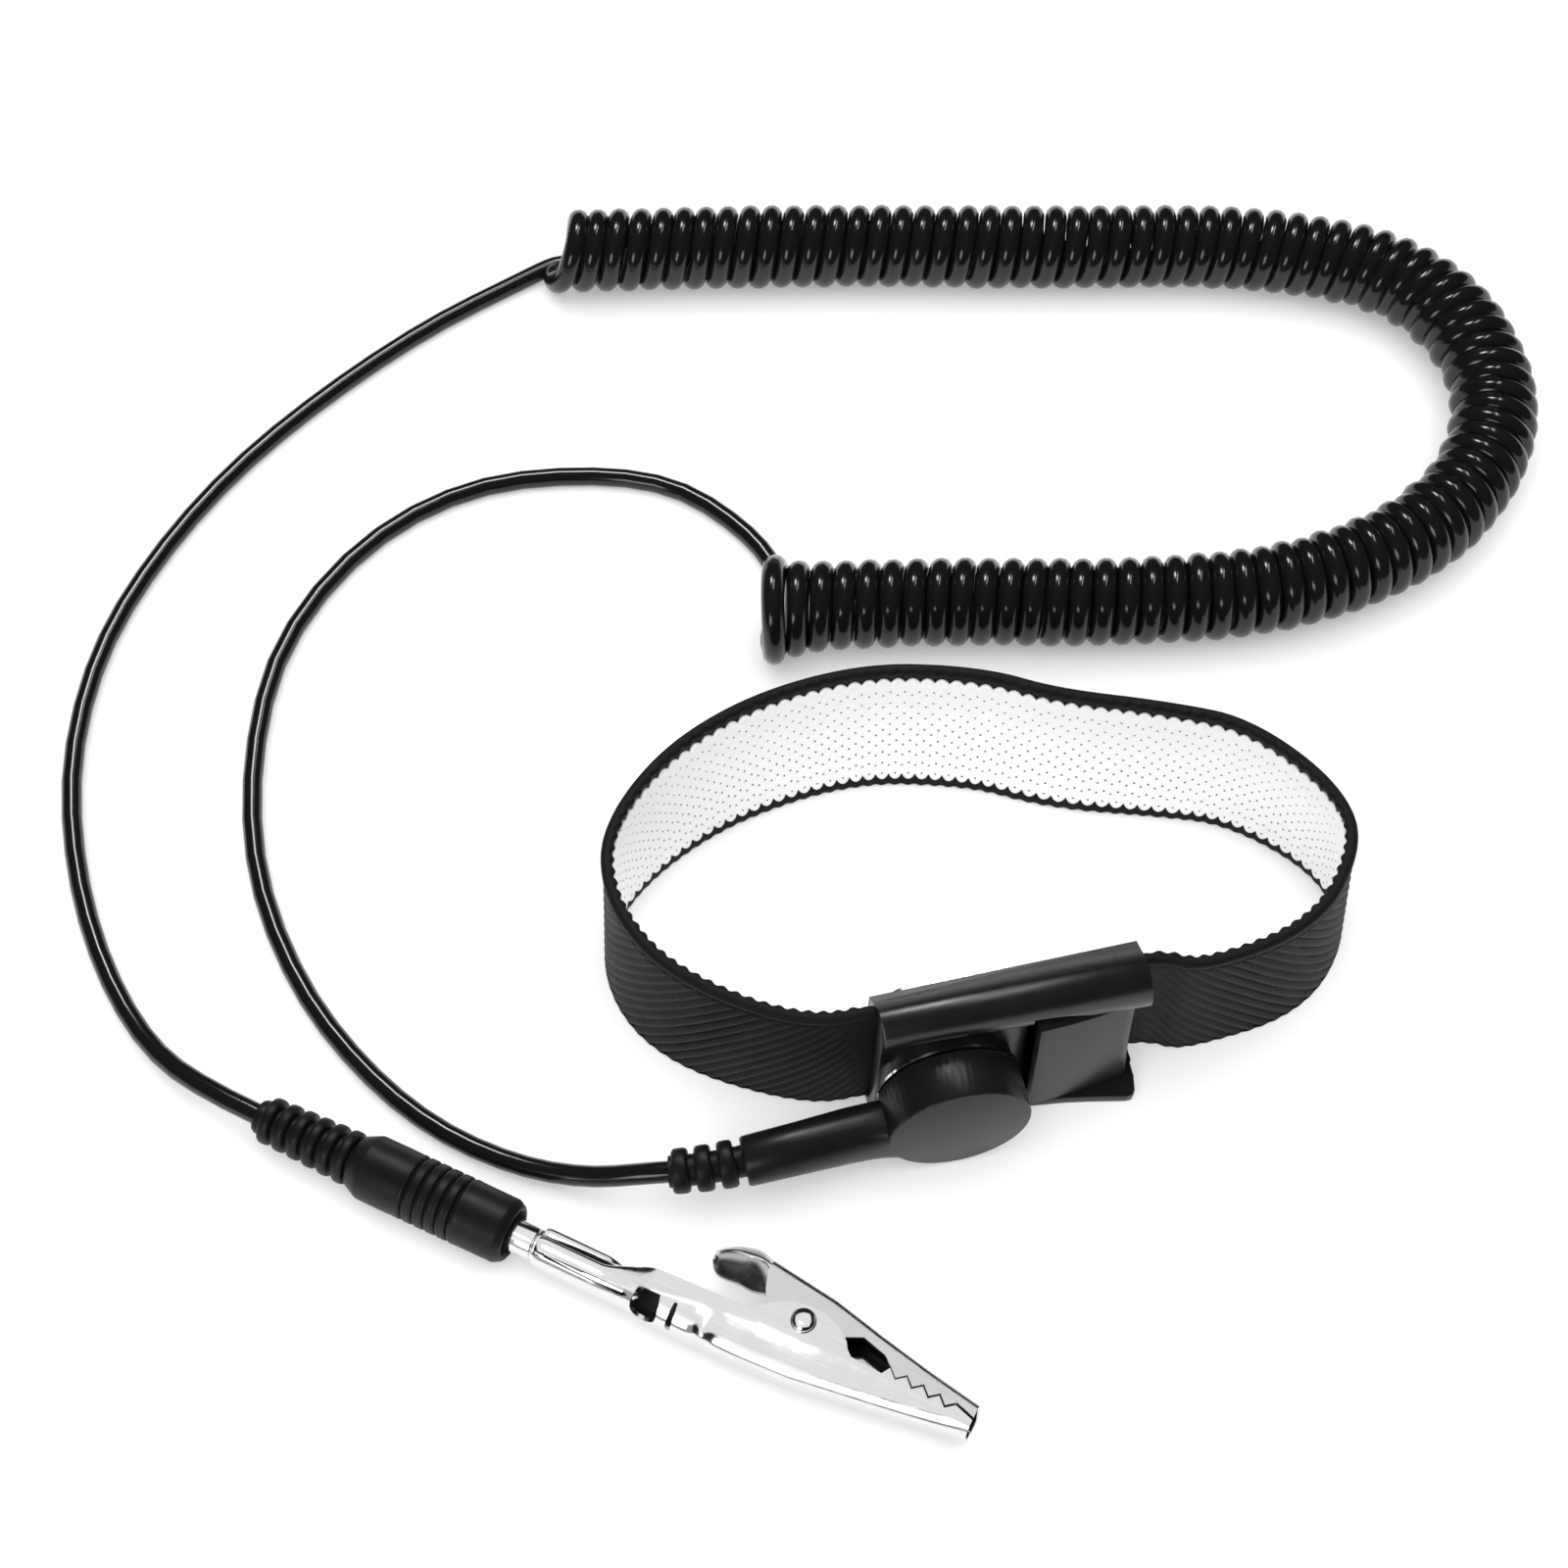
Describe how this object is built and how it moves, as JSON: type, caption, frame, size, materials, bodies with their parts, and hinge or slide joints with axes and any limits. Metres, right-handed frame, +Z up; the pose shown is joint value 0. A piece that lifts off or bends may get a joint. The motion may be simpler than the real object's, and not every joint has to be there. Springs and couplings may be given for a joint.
{
  "type": "anti-static wrist strap",
  "caption": "Adjustable elastic wristband with a clamp buckle and snap stud, a curly ground cord, a banana plug and a push-on crocodile clip.",
  "frame": {"origin": "on the floor under the middle of the wristband", "axes": "+X along the wristband's long side, +Y from the buckle to the back of the loop, +Z up"},
  "size_m": [0.1941, 0.1795, 0.0232],
  "materials": {
    "elastic_fabric": "ribbed black elastic knit",
    "conductive_knit": "silver-white conductive knit",
    "buckle_plastic": "satin moulded plastic",
    "lever_plastic": "satin moulded plastic",
    "snap_plastic": "satin moulded plastic",
    "stainless_plate": "brushed",
    "nickel_plate": "bright nickel plate",
    "steel_pin": "drawn",
    "spring_wire": "drawn spring wire",
    "spring_leaf": "bright",
    "resistor_body": "lacquered",
    "tinned_wire": "tinned",
    "cord_jacket": "glossy extruded jacket",
    "boot_rubber": "matte",
    "handle_rubber": "matte",
    "clip_metal": "bright nickel plate over brushed steel sheet"
  },
  "bodies": {
    "wristband": {"elastic_band": "elastic_fabric", "conductive_lining": "conductive_knit", "buckle_body": "buckle_plastic", "contact_plate": "stainless_plate", "snap_stud": "nickel_plate", "stud_rivet": "nickel_plate", "lever_pin": "steel_pin"},
    "clamp_lever": {"cam_lever": "lever_plastic"},
    "cord_set": {"snap_head": "snap_plastic", "snap_socket": "nickel_plate", "snap_ring_spring": "spring_wire", "resistor": "resistor_body", "resistor_leads": "tinned_wire", "wrist_boot": "boot_rubber", "cord_wrist_lead": "cord_jacket", "cord_coil": "cord_jacket", "cord_clip_lead": "cord_jacket", "banana_boot": "boot_rubber", "banana_handle": "handle_rubber", "banana_pin": "nickel_plate", "banana_spring": "spring_leaf"},
    "clip": {"clip_lower_jaw": "clip_metal", "clip_rivet": "clip_metal", "clip_spring": "spring_wire"},
    "clip_jaw": {"clip_upper_jaw": "clip_metal"}
  },
  "joints": [
    {"name": "lever_hinge", "type": "hinge", "parent": "wristband", "child": "clamp_lever", "pos_m": [0.01513, -0.01595, 0.009], "axis": [0, 0, 1], "range_deg": [0, 80]},
    {"name": "snap_release", "type": "slide", "parent": "wristband", "child": "cord_set", "axis": [0.2079, -0.9781, 0], "range_m": [0, 0.01], "deforming": ["snap_ring_spring"]},
    {"name": "clip_pull", "type": "slide", "parent": "cord_set", "child": "clip", "axis": [0.8965, -0.4431, 0], "range_m": [0, 0.02]},
    {"name": "jaw_hinge", "type": "hinge", "parent": "clip", "child": "clip_jaw", "pos_m": [-0.02103, -0.05123, 0.0039], "axis": [0, 0, 1], "range_deg": [0, 20], "stiffness_Nm_per_rad": 0.02, "springref_deg": -28.65, "deforming": ["clip_spring"]}
  ]
}
